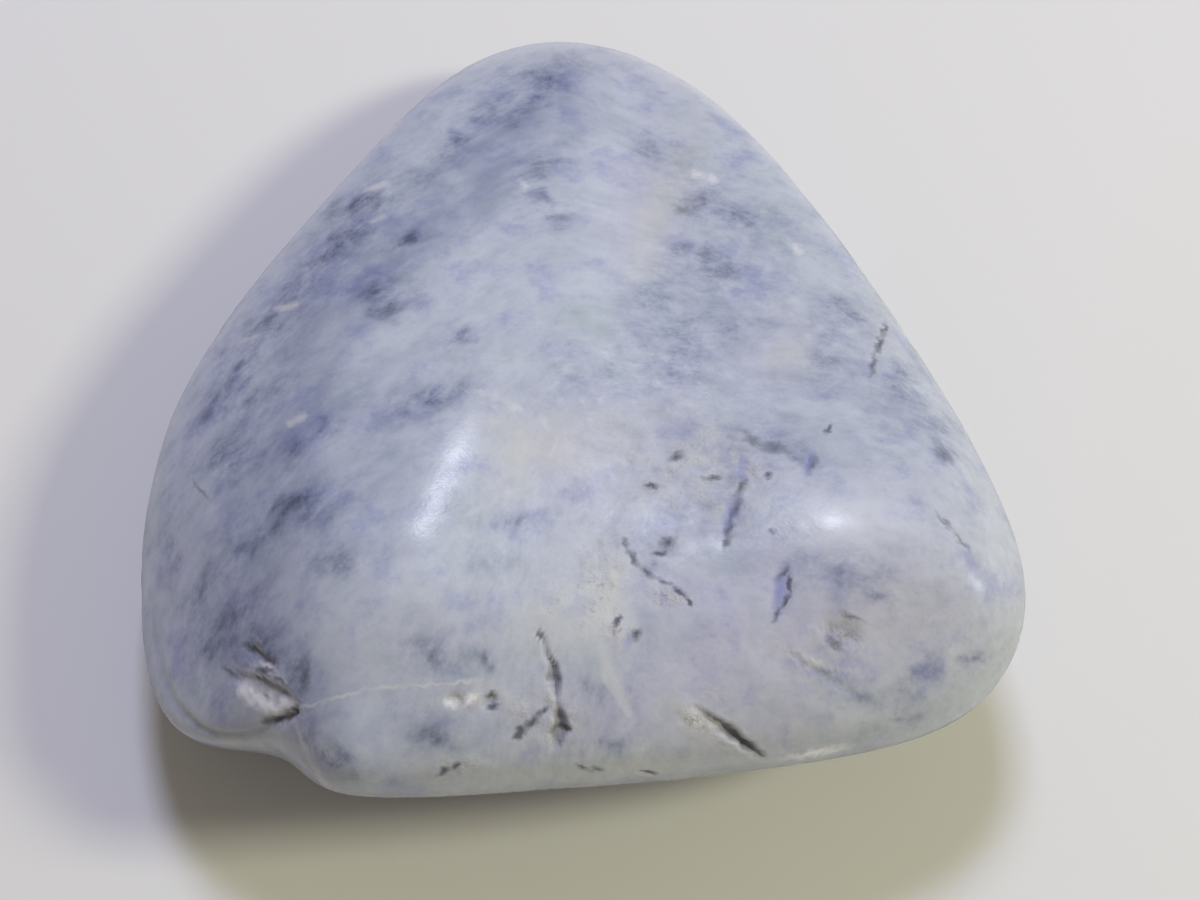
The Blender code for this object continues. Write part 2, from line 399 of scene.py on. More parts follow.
# Mauve shades, the same way.
MAUVE_SHADES = [
    (760, 640, 170, 80, 5, 0.9),
    (900, 600, 110, 90, 0, 0.6),
    (590, 440, 90, 50, 20, 0.5),
    (640, 720, 160, 40, 3, 0.6),
    (420, 640, 60, 30, 0, 0.4),
    (640, 200, 40, 60, 0, 0.5),
    (780, 350, 50, 40, 0, 0.5),
    (170, 620, 24, 70, 0, 0.5),
]

# Dark blue-grey clouds in the rock, the same way.
DARK_CLOUDS = [
    (520, 95, 75, 24, 32, 0.55),
    (545, 165, 22, 13, 10, 0.8),
    (550, 206, 24, 10, -35, 0.8),
    (450, 150, 50, 16, 45, 0.45),
    (360, 205, 48, 18, 40, 0.75),
    (408, 240, 20, 9, 20, 0.9),
    (330, 260, 55, 16, 40, 0.65),
    (385, 300, 34, 22, 30, 0.7),
    (275, 320, 60, 18, 45, 0.6),
    (230, 380, 60, 16, 60, 0.6),
    (262, 395, 40, 14, 45, 0.6),
    (460, 335, 22, 14, 50, 0.6),
    (328, 430, 14, 11, 30, 0.9),
    (292, 456, 15, 9, 20, 0.9),
    (232, 458, 24, 18, 35, 0.85),
    (300, 510, 36, 20, 20, 0.95),
    (245, 545, 34, 16, 40, 0.7),
    (430, 400, 42, 13, 12, 0.85),
    (345, 560, 30, 12, 10, 0.6),
    (205, 590, 40, 16, 45, 0.55),
    (250, 605, 36, 18, 20, 0.6),
    (250, 650, 44, 20, -15, 0.85),
    (300, 675, 14, 26, 0, 0.8),
    (205, 690, 34, 20, -30, 0.55),
    (215, 640, 30, 12, 30, 0.6),
    (330, 750, 32, 13, -35, 0.95),
    (435, 740, 22, 12, 5, 0.95),
    (430, 657, 40, 22, 0, 0.5),
    (487, 656, 14, 9, -20, 0.7),
    (300, 725, 16, 14, 0, 0.4),
    (690, 195, 22, 18, -20, 0.85),
    (738, 215, 44, 16, -15, 0.6),
    (705, 262, 50, 16, -10, 0.65),
    (690, 350, 38, 40, 0, 0.6),
    (745, 300, 56, 34, -20, 0.25),
    (650, 300, 24, 40, 0, 0.4),
    (660, 150, 40, 18, -30, 0.4),
    (845, 312, 34, 12, -20, 0.6),
    (828, 355, 26, 34, 10, 0.5),
    (900, 382, 26, 22, -40, 0.75),
    (935, 425, 26, 12, -35, 0.7),
    (946, 454, 14, 7, -40, 0.9),
    (780, 445, 34, 13, -15, 0.85),
    (742, 460, 14, 28, 0, 0.7),
    (560, 378, 22, 22, 0, 0.5),
    (612, 372, 18, 18, 0, 0.45),
    (848, 572, 60, 24, -8, 0.5),
    (888, 592, 14, 7, 0, 0.6),
    (800, 560, 20, 30, 0, 0.35),
    (922, 680, 26, 17, 40, 0.5),
    (868, 700, 14, 5, 0, 0.5),
    (972, 658, 22, 7, 0, 0.85),
    (900, 716, 16, 6, 0, 0.7),
    (822, 675, 52, 8, -28, 0.6),
    (880, 430, 26, 12, -20, 0.4),
    (606, 752, 44, 8, 0, 0.5),
    (690, 500, 60, 44, 0, 0.3),
    (650, 560, 30, 26, 0, 0.35),
    (520, 520, 50, 12, 20, 0.45),
    (500, 560, 40, 12, 15, 0.3),
    (170, 540, 12, 60, 0, 0.35),
    (600, 690, 30, 16, -10, 0.3),
]

# Pale clouds, the same way. Two over the right hump are a painted highlight, and the thin last one is
# painted floor light on the lower right rim.
PALE_CLOUDS_AND_SHEEN = [
    # Painted highlight.
    (848, 520, 42, 27, 0, 0.7),
    (604, 212, 26, 34, 0, 0.5),
    (612, 180, 26, 95, -10, 0.7),
    (585, 265, 60, 34, 20, 0.6),
    (632, 250, 14, 44, -15, 0.8),
    (380, 348, 24, 10, 10, 0.6),
    (470, 275, 40, 40, 0, 0.35),
    (440, 575, 80, 30, 10, 0.75),
    (470, 450, 40, 50, 0, 0.4),
    (560, 610, 50, 44, 0, 0.6),
    (360, 632, 60, 26, 0, 0.5),
    (715, 640, 70, 36, 0, 0.5),
    (480, 705, 60, 16, 5, 0.5),
    # Painted highlight.
    (845, 515, 60, 34, 0, 0.5),
    (1000, 540, 12, 60, -10, 0.5),
    (820, 425, 40, 10, -10, 0.3),
    (300, 345, 30, 14, 30, 0.3),
    (210, 505, 24, 22, 0, 0.4),
    (905, 630, 70, 60, 0, 0.45),
    (740, 640, 60, 50, 0, 0.3),
    (350, 610, 50, 40, 0, 0.35),
    (380, 705, 60, 10, 0, 0.3),
    # Painted floor light on the lower right rim.
    (815, 757, 40, 5, 8, 1.0),
]

# Stains: creamy, tan and green, the same way. The two thin strips along the lower rims are painted
# warm light reflected from the floor.
CREAM_STAINS_AND_FLOOR_GLOW = [
    (672, 190, 26, 60, -20, 0.55),
    (600, 440, 60, 34, 20, 0.4),
    (520, 455, 34, 26, 40, 1.0),
    (492, 420, 26, 16, 20, 0.7),
    (560, 615, 50, 40, 0, 0.5),
    (610, 590, 20, 40, 0, 0.6),
    (790, 352, 22, 20, 30, 0.7),
    (655, 220, 14, 36, -25, 0.6),
    (640, 260, 16, 20, 0, 0.4),
    (455, 700, 26, 12, 0, 0.6),
    (692, 722, 30, 12, -38, 0.6),
    (280, 700, 16, 12, -10, 0.6),
    # Painted floor reflection on the band under the lip.
    (250, 742, 50, 9, 5, 0.6),
    # Painted warm floor light along the bottom rim.
    (600, 775, 200, 9, 4, 0.45),
    (560, 440, 18, 30, 0, 0.4),
]
GREEN_STAINS = [
    (590, 322, 20, 20, 0, 0.8),
    (615, 375, 20, 14, 0, 0.7),
    (548, 170, 20, 12, 0, 0.4),
    (615, 655, 26, 14, 0, 0.3),
    (470, 665, 30, 16, 0, 0.4),
    (430, 740, 24, 12, 0, 0.3),
    (835, 690, 34, 8, -25, 0.4),
    (810, 570, 16, 20, 0, 0.3),
]

# Thin pale veins: stations across, down, widths and strength.
VEINS = [
    [(600, 640, 1.0, 0.5, 0.2), (606, 680, 1.8, 0.6, 0.5), (628, 714, 0.9, 0.3, 0.4)],
    [(366, 190, 0.4, 0.4, 0.8), (384, 184, 0.4, 0.4, 0.8)],
    [(276, 309, 0.4, 0.4, 0.8), (296, 305, 0.5, 0.5, 0.9)],
    [(240, 342, 0.4, 0.4, 0.6), (256, 336, 0.4, 0.4, 0.7)],
    [(290, 424, 0.6, 0.6, 0.8), (304, 416, 0.6, 0.6, 0.8)],
    [(372, 222, 0.4, 0.4, 0.6), (384, 216, 0.4, 0.4, 0.6)],
    [(770, 640, 0.3, 0.3, 0.2), (830, 668, 0.3, 0.3, 0.6), (860, 672, 0.3, 0.3, 0.3)],
]


def outward_normals(points):
    """Unit normals at the points: the sum of the crossed diagonals of the quads round each."""
    corners = points[quads]
    crossed = np.cross(corners[:, 2] - corners[:, 0], corners[:, 3] - corners[:, 1])
    shared = np.repeat(crossed, 4, axis=0)
    total = [np.bincount(quads.ravel(), shared[:, axis], len(points)) for axis in range(3)]
    return unit(np.stack(total, axis=-1))


def neighbour_mean(values):
    """The mean of each point's four neighbours along the grid lines."""
    total = np.zeros(len(values))
    count = np.zeros(len(values))
    for step in (1, -1):
        others = np.roll(quads, step, axis=1).ravel()
        total += np.bincount(quads.ravel(), values[others], len(values))
        count += np.bincount(quads.ravel(), minlength=len(values))
    return total / count


# The body: worn facets, then the lumps of the display face, then slow ripples all over. Lumps fade
# where the skin turns from the viewing point.
LUMP_FADE = 2.0
points = HEART + directions * body_radius(directions)[:, None]
places = drawn_place(points)
towards = unit(VIEW_POINT - points)
turned_up = np.clip(0.5 + LUMP_FADE * (directions * towards).sum(axis=1), 0, 1)
lump_height = sum(lump[5] * bell(places, *lump[:5]) for lump in LUMPS)
points += towards * (lump_height * turned_up)[:, None]

# Ripples: size and height in mm, and seed.
BODY_RIPPLES = [(18.0, 0.25, 1), (7.0, 0.05, 2), (3.2, 0.015, 3)]
normals = outward_normals(points)
waves = sum(height * ripple(points, size, seed) for size, height, seed in BODY_RIPPLES)
points += normals * waves[:, None]

# What faces the viewing point is displayed, and what turns from it is hidden: the cosines between
# which each comes and goes.
DISPLAYED_FROM = (0.02, 0.16)
HIDDEN_UNTIL = (-0.1, 0.35)
normals = outward_normals(points)
places = drawn_place(points)
facing = (normals * unit(VIEW_POINT - points)).sum(axis=1)
displayed = rise(facing, *DISPLAYED_FROM)
hidden = 1 - rise(facing, *HIDDEN_UNTIL)

# Broken ground: cracks, worn lines and pits go in along the normals, with wandering edges. Frays
# are size in mm, share of a crack's width, and seed. Walls are the gaps, in widths from the middle,
# where a hollow's floor ends and its rim begins. Crack floors are painted darker with depth, as shade
# and grime, fully dark from a depth in mm; pits are painted dark as shade.
FRAYS = [(1.3, 0.45, 11), (0.6, 0.25, 12)]
LINE_FRAY = 0.4
PIT_FRAY = 0.35
VEIN_FRAY = 0.5
HIDDEN_FRAY = 0.3
CRACK_WALL = (0.2, 1.0)
CRACK_SHADE_WALL = (0.35, 1.05)
CRACK_GRAIN = 1.1
CRACK_ROUGHNESS = 0.35
LINE_WALL = (0.0, 1.0)
PIT_WALL = (0.45, 1.05)
DARK_FROM_DEPTH = 1.1
FAINTEST_BELL = 1e-12
fray = sum(share * ripple(points, size, seed) for size, share, seed in FRAYS)
height = np.zeros(len(points))
grime = np.zeros(len(points))
for stations in CRACKS.values():
    gap, depth = groove(places, stations, fray)
    crack_floor = 1 - rise(gap, *CRACK_WALL)
    uneven = 1 + CRACK_ROUGHNESS * ripple(points, CRACK_GRAIN, 13)
    height -= displayed * depth * crack_floor * uneven
    # Painted shade and grime: crack floors are painted darker with depth.
    dark_floor = (1 - rise(gap, *CRACK_SHADE_WALL)) * np.clip(depth / DARK_FROM_DEPTH, 0, 1)
    grime = np.maximum(grime, displayed * dark_floor)
for stations in WORN_LINES.values():
    gap, depth = groove(places, stations, LINE_FRAY * fray)
    height -= displayed * depth * (1 - rise(gap, *LINE_WALL))
pit_shade = np.zeros(len(points))
for across, down, half_length, half_width, depth, turn, dark in PITS.values():
    near = bell(places, across, down, half_length * UNITS_PER_MM, half_width * UNITS_PER_MM, turn)
    gap = np.sqrt(-np.log(np.maximum(near, FAINTEST_BELL))) + PIT_FRAY * fray
    hollow = 1 - rise(gap, *PIT_WALL)
    height -= displayed * depth * hollow
    # Painted shade: pits are painted darker by their darkness.
    pit_shade = np.maximum(pit_shade, displayed * dark * hollow)

# Rough ground comes and goes in patches, crumbles into grains and loses a few crumbs. Sizes, heights
# and depths are in mm; grains are size, height and seed.
PATCH_SIZE = 3.0
PATCH_EDGE = (-0.4, 0.4)
PATCH_LEAST = 0.6
PATCH_MORE = 0.8
ROUGH_GRAINS = [(2.2, 0.22, 15), (1.2, 0.06, 16)]
LOST_CRUMB_SIZE = 2.0
LOST_CRUMB_EDGE = (0.2, 0.6)
LOST_CRUMB_DEPTH = 0.3
rough = np.zeros(len(points))
for across, down, half_length, half_width, turn, strength in ROUGH_GROUND:
    rough = np.maximum(rough, strength * bell(places, across, down, half_length, half_width, turn))
patchy = PATCH_LEAST + PATCH_MORE * rise(ripple(points, PATCH_SIZE, 14), *PATCH_EDGE)
rough *= displayed * patchy
grains = sum(grain_height * ripple(points, size, seed) for size, grain_height, seed in ROUGH_GRAINS)
height += rough * grains
height -= rough * LOST_CRUMB_DEPTH * rise(ripple(points, LOST_CRUMB_SIZE, 17), *LOST_CRUMB_EDGE)

# The sides that lie away from the display face: seeded pits, a few healed cracks and rough ground.
# Sizes and depths are in mm.
HIDDEN_PITS = 34
PIT_SEED = 71
PIT_SIZES = (0.5, 1.7)
PIT_STRETCHES = (0.35, 1.0)
PIT_DEPTHS = (0.2, 0.7)
PIT_REACH = 1.4
HIDDEN_PIT_WALL = (0.4, 1.05)
HIDDEN_PIT_SHADE = 0.6
HEALED_SIZE = 26.0
HEALED_WANDER_SIZE = 4.0
HEALED_WANDER = 0.08
HEALED_WIDTH = (0.0, 0.022)
HEALED_WHERE_SIZE = 30.0
HEALED_WHERE = (0.05, 0.2)
HEALED_DEPTH = 0.35
HIDDEN_ROUGH_SIZE = 11.0
HIDDEN_ROUGH_EDGE = (0.3, 0.6)
HIDDEN_ROUGH = 0.6
HIDDEN_GRAIN_SIZE = 1.7
HIDDEN_GRAIN = 0.2
draw = np.random.default_rng(PIT_SEED)
for _ in range(HIDDEN_PITS):
    centre = points[draw.integers(len(points))]
    size = draw.uniform(*PIT_SIZES)
    stretch = draw.uniform(*PIT_STRETCHES)
    lean = unit(draw.normal(size=3))
    depth = draw.uniform(*PIT_DEPTHS) * size**0.5
    away = points - centre
    along = away @ lean
    across = (away**2).sum(axis=1) - along**2
    gap = np.sqrt(along**2 + across / stretch**2) / (size * PIT_REACH) + HIDDEN_FRAY * fray
    hollow = hidden * (1 - rise(gap, *HIDDEN_PIT_WALL))
    height -= depth * hollow
    # Painted shade: hidden pits are painted darker.
    pit_shade = np.maximum(pit_shade, HIDDEN_PIT_SHADE * hollow)
healed_line = ripple(points, HEALED_SIZE, 18) + HEALED_WANDER * ripple(points, HEALED_WANDER_SIZE, 19)
healed = 1 - rise(np.abs(healed_line), *HEALED_WIDTH)
healed *= hidden * rise(ripple(points, HEALED_WHERE_SIZE, 20), *HEALED_WHERE)
height -= HEALED_DEPTH * healed
hidden_patches = rise(ripple(points, HIDDEN_ROUGH_SIZE, 23), *HIDDEN_ROUGH_EDGE)
rough = np.maximum(rough, HIDDEN_ROUGH * hidden * hidden_patches)
height += rough * hidden * HIDDEN_GRAIN * ripple(points, HIDDEN_GRAIN_SIZE, 15)

points += normals * height[:, None]
points[:, 2] = np.maximum(points[:, 2], 0.0)

# Hollows are painted darker as shade, and edges are bruised pale: how far in mm each point lies below
# the mean of its neighbours, twice smoothed.
CREVICE = (0.008, 0.08)
BRUISE = (0.008, 0.06)
normals = outward_normals(points)
sunk = np.stack([neighbour_mean(points[:, axis]) for axis in range(3)], axis=-1) - points
sunk = (sunk * normals).sum(axis=1)
crevice = neighbour_mean(neighbour_mean(sunk))
crevice_shade = rise(crevice, *CREVICE)
worn_edge = rise(-crevice, *BRUISE)

# The marks in the rock: clouds and stains are laid on the drawing and bent by slow noise; on the
# hidden sides noise alone lays them. A few pale clouds and cream stains are painted highlight and
# floor light. Bends are size in mm, reach in sheet units, and two seeds.
BENDS = [(9.0, 9, 31, 32), (3.5, 7, 33, 34), (1.6, 4, 38, 39)]
bent = places
for size, reach, across_seed, down_seed in BENDS:
    swirl = [ripple(points, size, across_seed), ripple(points, size, down_seed)]
    bent = bent + reach * np.stack(swirl, axis=-1)


def clouds(marks):
    """1 minus the product of (1 - strength * exp(-r^2)) over the clouds, on the bent drawing."""
    return 1 - np.prod([1 - mark[5] * bell(bent, *mark[:5]) for mark in marks], axis=0)


def two_sided(display, hidden_side):
    """The display marks where the drawing reaches, and the noise marks where it doesn't."""
    seen = rise(facing, *DRAWING_FROM)
    return seen * display + (1 - seen) * hidden_side


# Each kind of cloud: its drawn marks, and for the hidden sides the size of its noise in mm, a share
# that draws the noise out along y, its seed, the noise where it starts and is full, and its strength.
DRAWING_FROM = (0.0, 0.3)
CLOUD_KINDS = {
    "shade": (SHADES, 24.0, 1.0, 40, (-0.3, 0.5), 0.7),
    "mauve": (MAUVE_SHADES, 21.0, 1.0, 41, (-0.2, 0.5), 0.6),
    "dark": (DARK_CLOUDS, 15.0, 0.6, 35, (-0.1, 0.6), 0.8),
    "pale": (PALE_CLOUDS_AND_SHEEN, 19.0, 1.0, 36, (0.0, 0.6), 0.7),
    "cream": (CREAM_STAINS_AND_FLOOR_GLOW, 17.0, 1.0, 37, (0.15, 0.6), 0.6),
    "green": (GREEN_STAINS, 14.0, 1.0, 38, (0.25, 0.7), 0.5),
}
MARKS = {}
for kind, (marks, size, share, seed, edge, strength) in CLOUD_KINDS.items():
    noise = ripple(points * [1, share, 1], size, seed)
    MARKS[kind] = two_sided(clouds(marks), strength * rise(noise, *edge))

# Veins lie where they are drawn, and along the healed cracks of the hidden sides.
HEALED_PALE = 0.7
VEIN_EDGE = (0.3, 1.3)
vein = HEALED_PALE * healed
for stations in VEINS:
    gap, strength = groove(places, stations, VEIN_FRAY * fray)
    vein = np.maximum(vein, displayed * strength * (1 - rise(gap, *VEIN_EDGE)))

# Painted shade and grime fill the cracks, painted shade the pits, and less of it lies under the lip
# and in the crevices.
LIP_DEPTH = 0.3
LIP_EDGE = (0.1, 0.8)
LIP_SHADE_SHARE = 0.3
CREVICE_SHADE_SHARE = 0.8
lip_gap, lip_depth = groove(places, WORN_LINES["lip"], LINE_FRAY * fray)
lip_shade = displayed * (1 - rise(lip_gap, *LIP_EDGE)) * np.clip(lip_depth / LIP_DEPTH, 0, 1)
grimes = [grime, pit_shade, LIP_SHADE_SHARE * lip_shade, CREVICE_SHADE_SHARE * crevice_shade]
grime = np.clip(np.maximum.reduce(grimes), 0, 1)

# The grain turns from steep to flat between these places across the stone, in mm.
GRAIN_TURNS = (-18.0, 14.0)
MARKS["vein"] = vein
MARKS["rough"] = rough
MARKS["grime"] = grime
MARKS["edge"] = worn_edge
MARKS["side"] = rise(points[:, 0], *GRAIN_TURNS)
MARKS["displayed"] = displayed

stone_mesh = bpy.data.meshes.new("stone_skin")
stone_mesh.from_pydata((points * MM).tolist(), [], quads.tolist())
stone_mesh.shade_smooth()
for mark, values in MARKS.items():
    layer = stone_mesh.attributes.new(mark, "FLOAT", "POINT")
    layer.data.foreach_set("value", values.astype(np.float32))

# The drawing itself, in thousands of sheet units, for marks finer than the cells of the skin.
SHEET_SCALE = 0.001
sheet_places = np.concatenate([places * SHEET_SCALE, np.zeros((len(points), 1))], axis=1)
sheet = stone_mesh.attributes.new("sheet", "FLOAT_VECTOR", "POINT")
sheet.data.foreach_set("vector", sheet_places.astype(np.float32).ravel())
stone = bpy.data.objects.new("stone_skin", stone_mesh)
bpy.context.scene.collection.objects.link(stone)


def linear(hex_colour):
    """An sRGB hex colour as linear red, green, blue and alpha."""
    parts = np.array([int(hex_colour[start : start + 2], 16) for start in (1, 3, 5)]) / 255
    return (*np.where(parts <= 0.04045, parts / 12.92, ((parts + 0.055) / 1.055) ** 2.4), 1.0)


def add_node(tree, kind, inputs, output=0, **settings):
    """Adds a node with these settings, its inputs linked to sockets or set to values; gives an output."""
    added = tree.nodes.new("ShaderNode" + kind)
    for setting, value in settings.items():
        setattr(added, setting, value)
    for socket, value in inputs.items():
        if isinstance(value, bpy.types.NodeSocket):
            tree.links.new(value, added.inputs[socket])
        else:
            added.inputs[socket].default_value = value
    return added.outputs[output]


# Jadeite rock, worn and wax polished: a fine sugary mass of pale lavender grains, clouded and
# streaked with blue-grey, with a soft shine that breaks up on a faint orange peel.
jade = bpy.data.materials.new("wax_polished_lavender_jade")
jade.use_nodes = True
tree = jade.node_tree
tree.nodes.clear()
place = add_node(tree, "TexCoord", {}, "Object")
laid = {mark: add_node(tree, "Attribute", {}, "Fac", attribute_name=mark) for mark in MARKS}

# Streaks follow the grain of the rock, steep on the left and flatter on the right, and are drawn out
# along it by these shares.
STEEP_GRAIN = (0.0, 0.0, math.radians(46))
FLAT_GRAIN = (0.0, 0.0, math.radians(-14))
STEEP_STRETCH = (1.8, 1.0, 1.1)
FLAT_STRETCH = (1.5, 1.0, 1.1)
steep = add_node(
    tree,
    "Mapping",
    {"Vector": place, "Rotation": STEEP_GRAIN, "Scale": STEEP_STRETCH},
    vector_type="TEXTURE",
)
flat = add_node(
    tree,
    "Mapping",
    {"Vector": place, "Rotation": FLAT_GRAIN, "Scale": FLAT_STRETCH},
    vector_type="TEXTURE",
)
grain = add_node(tree, "Mix", {0: laid["side"], 4: steep, 5: flat}, 1, data_type="VECTOR")

# Patterns, by the size in mm of what they show: brushed streaks, mottled grains, flecks, and the
# sugar of the finest grains, which is drawn as coarse as it needs to show.
MM_PER_METRE = 1000
STREAK_SIZE = 3.6
MOTTLE_SIZE = 5.0
FLECK_SIZE = 1.5
SUGAR_SIZE = 0.5
pattern = {"Vector": grain, "Scale": MM_PER_METRE / STREAK_SIZE, "Detail": 2.5, "Roughness": 0.5}
streaks = add_node(tree, "TexNoise", {**pattern, "Distortion": 0.25})
pattern = {"Vector": place, "Scale": MM_PER_METRE / MOTTLE_SIZE, "Detail": 6.0, "Roughness": 0.6}
mottle = add_node(tree, "TexNoise", {**pattern, "Distortion": 0.2})
pattern = {"Vector": grain, "Scale": MM_PER_METRE / FLECK_SIZE, "Detail": 5.0, "Roughness": 0.65}
flecks = add_node(tree, "TexNoise", pattern)
pattern = {"Vector": place, "Scale": MM_PER_METRE / SUGAR_SIZE, "Detail": 2.0, "Roughness": 0.5}
sugar = add_node(tree, "TexNoise", pattern)

# The tone runs from 0, the palest rock, to 1, the darkest. Dark rock is the more restless.
STREAK_SHARE = 0.85
MOTTLE_SHARE = 1.3
FLECK_SHARE = 1.0
SUGAR_SHARE = 0.3
RESTLESS_IN_PALE = 0.42
RESTLESS_IN_DARK = 0.95
MIDDLE_TONE = 0.32
DARK_STEP = 0.5
PALE_STEP = -0.2
inputs = {0: laid["dark"], 1: RESTLESS_IN_DARK, 2: RESTLESS_IN_PALE}
restless = add_node(tree, "Math", inputs, operation="MULTIPLY_ADD")
inputs = {0: streaks, 1: STREAK_SHARE, 2: -0.5 * STREAK_SHARE}
wavering = add_node(tree, "Math", inputs, operation="MULTIPLY_ADD")
for noise, share in ((mottle, MOTTLE_SHARE), (flecks, FLECK_SHARE), (sugar, SUGAR_SHARE)):
    centred = add_node(tree, "Math", {0: wavering, 1: -0.5 * share}, operation="ADD")
    wavering = add_node(tree, "Math", {0: noise, 1: share, 2: centred}, operation="MULTIPLY_ADD")
tone = add_node(tree, "Math", {0: laid["dark"], 1: DARK_STEP, 2: MIDDLE_TONE}, operation="MULTIPLY_ADD")
tone = add_node(tree, "Math", {0: laid["pale"], 1: PALE_STEP, 2: tone}, operation="MULTIPLY_ADD")
tone = add_node(tree, "Math", {0: wavering, 1: restless, 2: tone}, operation="MULTIPLY_ADD")

JADE_TONES = {0.0: "#BEC4CF", 0.3: "#B0B5C2", 0.55: "#9EA4B6", 0.8: "#848A9F", 1.0: "#6B6F7E"}
colour = add_node(tree, "ValToRGB", {"Fac": tone})
ramp = colour.node.color_ramp
while len(ramp.elements) < len(JADE_TONES):
    ramp.elements.new(0.5)
for element, (position, tone_colour) in zip(ramp.elements, JADE_TONES.items()):
    element.position = position
    element.color = linear(tone_colour)

# Broad shades turn the rock a deeper lavender, and streaks break them up.
BRUSHED_LEAST = 0.35
BRUSHED_BY_STREAKS = 1.3
inputs = {0: streaks, 1: BRUSHED_BY_STREAKS, 2: BRUSHED_LEAST}
brushed = add_node(tree, "Math", inputs, operation="MULTIPLY_ADD")
brushed = add_node(tree, "Math", {0: brushed, 1: laid["shade"]}, operation="MULTIPLY")
inputs = {0: brushed, 6: colour, 7: linear("#C6CBDB")}
colour = add_node(tree, "Mix", inputs, 2, data_type="RGBA", blend_type="MULTIPLY")

# The rock's hue drifts: where the noise is high it is tinted violet, and where it is low, green. The
# mauve shades tint it too. Each hue: the noise where it starts and is full, its share, its tint.
HUE_SIZE = 7.0
HUES = [(0.48, 0.74, 0.8, "#D2D5F2"), (0.5, 0.3, 0.6, "#E6EEEA")]
pattern = {"Vector": place, "Scale": MM_PER_METRE / HUE_SIZE, "Detail": 6.0, "Roughness": 0.68}
hues = add_node(tree, "TexNoise", pattern)
for start, end, share, hue in HUES:
    tinted = {"Value": hues, "From Min": start, "From Max": end, "To Min": 0.0, "To Max": share}
    tinted = add_node(tree, "MapRange", tinted, interpolation_type="SMOOTHSTEP")
    inputs = {0: tinted, 6: colour, 7: linear(hue)}
    colour = add_node(tree, "Mix", inputs, 2, data_type="RGBA", blend_type="MULTIPLY")
inputs = {0: laid["mauve"], 6: colour, 7: linear("#FDF6FF")}
colour = add_node(tree, "Mix", inputs, 2, data_type="RGBA", blend_type="MULTIPLY")

# Marks finer than the skin's cells are drawn on the sheet: across, down, half length and half width in
# mm, turn in degrees and strength. Dint shades are painted shade in small dents and crevices and a
# painted shadow under the chipped lip; threads are thin pale veins; chips are fresh rock, with painted
# glints on the chip faces, a painted highlight on the right hump and painted floor light on the lower
# right rim; and a few hollows show deeper lavender.
DINT_SHADES = [
    (625, 543, 1.6, 0.5, -62, 0.5),
    (633, 558, 1.8, 0.75, -58, 0.7),
    (647, 573, 1.9, 0.7, -42, 0.7),
    (664, 582, 1.9, 0.6, -18, 0.6),
    (680, 591, 1.7, 0.7, -38, 0.8),
    (689, 602, 1.2, 0.6, -60, 0.9),
    (884, 330, 1.5, 0.5, 78, 0.6),
    (879, 345, 1.9, 0.7, 70, 0.75),
    (873, 365, 2.2, 0.5, 78, 0.6),
    (741, 487, 2.0, 0.8, 65, 0.6),
    (735, 508, 2.2, 0.9, 72, 0.6),
    (728, 530, 2.2, 1.0, 76, 0.65),
    (726, 543, 1.0, 0.8, 60, 0.8),
    (783, 572, 1.6, 0.7, 60, 0.6),
    (789, 584, 1.9, 0.5, 95, 0.85),
    (786, 601, 1.8, 0.6, 72, 0.75),
    (778, 614, 1.6, 0.6, 52, 0.6),
    (836, 645, 2.6, 0.8, -35, 0.5),
    (846, 630, 2.6, 1.2, -20, 0.3),
    (852, 617, 2.6, 0.6, -28, 0.45),
    (668, 541, 1.6, 0.9, 20, 0.6),
    (661, 552, 1.6, 0.7, 15, 0.8),
    (676, 457, 1.6, 0.7, 35, 0.6),
    (651, 486, 1.4, 0.6, 0, 0.8),
    (712, 478, 1.8, 0.6, 5, 0.6),
    (768, 475, 0.9, 0.7, 0, 0.7),
    (772, 531, 0.9, 0.6, -30, 0.6),
    (637, 634, 1.3, 0.9, 60, 0.7),
    (618, 621, 1.2, 0.6, 50, 0.8),
    (752, 440, 2.2, 1.0, -25, 0.5),
    (775, 447, 2.8, 1.1, -15, 0.5),
    (812, 465, 1.9, 0.9, 65, 0.5),
    (829, 429, 1.2, 0.5, 50, 0.7),
    (945, 454, 2.4, 1.0, -40, 0.5),
    (493, 707, 1.3, 0.7, 20, 0.8),
    (488, 694, 1.1, 0.5, 30, 0.6),
    (444, 771, 1.3, 0.8, 30, 0.8),
    (455, 765, 1.1, 0.7, 20, 0.8),
    (598, 770, 1.5, 0.6, -10, 0.6),
    (944, 522, 2.4, 0.4, -48, 0.4),
    (962, 543, 2.4, 0.45, -50, 0.45),
    (200, 490, 2.4, 0.45, -50, 0.4),
    (541, 634, 1.0, 0.7, -30, 0.6),
    (582, 766, 1.4, 0.5, -25, 0.6),
    (543, 711, 1.5, 0.6, 42, 0.7),
    (532, 722, 2.2, 0.8, 45, 0.85),
    (520, 733, 1.5, 0.9, 38, 0.9),
    (252, 647, 1.8, 0.7, -25, 0.8),
    (268, 658, 2.0, 0.9, -42, 0.85),
    (264, 671, 1.6, 0.5, -12, 0.7),
    (280, 681, 1.6, 0.5, -30, 0.6),
    (304, 676, 1.1, 2.6, 10, 0.55),
    (229, 672, 1.8, 0.5, -40, 0.5),
    # Painted shadow under the chipped lip.
    (280, 719, 3.2, 0.8, 12, 0.75),
    (294, 712, 1.2, 0.9, 60, 0.9),
]
